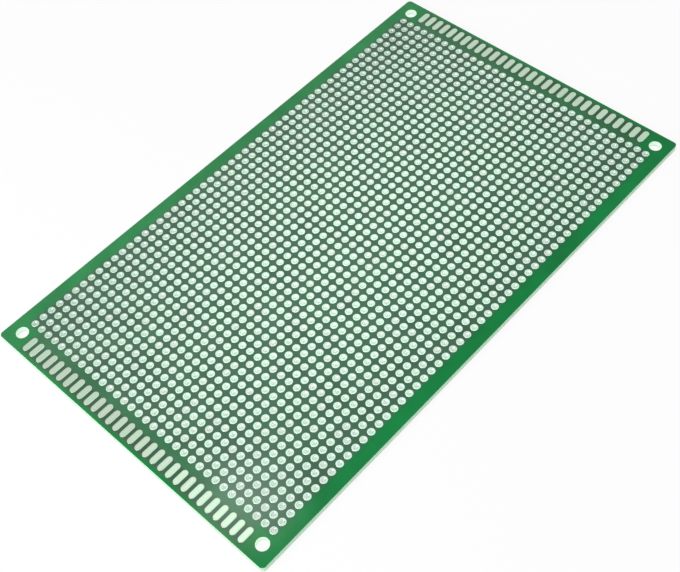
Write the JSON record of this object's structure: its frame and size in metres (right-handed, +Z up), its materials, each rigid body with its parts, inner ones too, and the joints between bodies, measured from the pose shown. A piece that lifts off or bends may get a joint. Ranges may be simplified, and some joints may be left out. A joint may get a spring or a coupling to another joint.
{
  "type": "prototype board",
  "caption": "Flat green prototype board with a full grid of plated through holes, tinned round pads, long tinned pads along both ends and a screw hole in each corner.",
  "frame": {"origin": "middle of the board, on the plane of the lower pads' faces that it rests on", "axes": "+X along the short side, to the right seen from the near end; +Y along the long side, towards the far end in the picture; +Z up, out of the face that shows"},
  "size_m": [0.09, 0.15, 0.0017],
  "materials": {
    "solder_mask": "glossy green liquid solder mask over woven glass-epoxy laminate",
    "tinned_copper": "satin, hot-air levelled tin over copper"
  },
  "bodies": {
    "root": {"board": "solder_mask", "far_top_fingers": "tinned_copper", "near_top_fingers": "tinned_copper", "far_bottom_fingers": "tinned_copper", "near_bottom_fingers": "tinned_copper", "corner_eyelets": "tinned_copper"}
  },
  "joints": []
}
